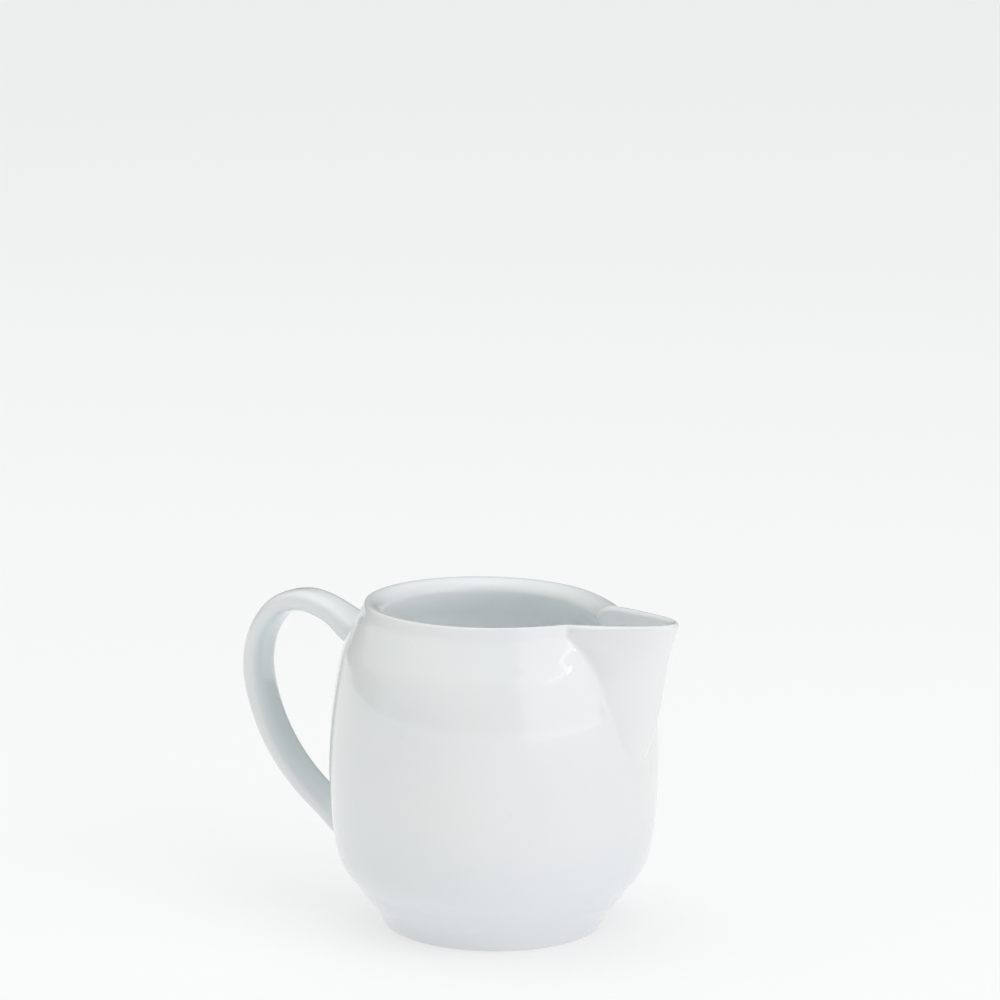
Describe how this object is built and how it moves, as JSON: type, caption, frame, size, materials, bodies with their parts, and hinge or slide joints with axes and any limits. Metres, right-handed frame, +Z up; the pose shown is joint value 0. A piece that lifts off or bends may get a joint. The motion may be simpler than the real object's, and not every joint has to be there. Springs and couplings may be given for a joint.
{
  "type": "cream jug",
  "caption": "Small round-bellied porcelain cream jug on a foot ring, with a beak spout and a looped strap handle.",
  "frame": {"origin": "under the middle of the jug's bounding box, on the plane of the foot ring", "axes": "+Z up; +X from the handle towards the spout; +Y to the left of somebody who looks along +X"},
  "size_m": [0.1206, 0.08, 0.0799],
  "materials": {
    "glazed_porcelain": "white feldspathic porcelain under a clear glossy glaze; only the flat of the foot ring is unglazed",
    "fired_slip": "the same porcelain as casting slip, fired solid and covered by the glaze"
  },
  "bodies": {
    "root": {"body": "glazed_porcelain", "spout": "glazed_porcelain", "handle": "glazed_porcelain", "slip_joint_spout": "fired_slip", "slip_joint_upper": "fired_slip", "slip_joint_lower": "fired_slip"}
  },
  "joints": []
}
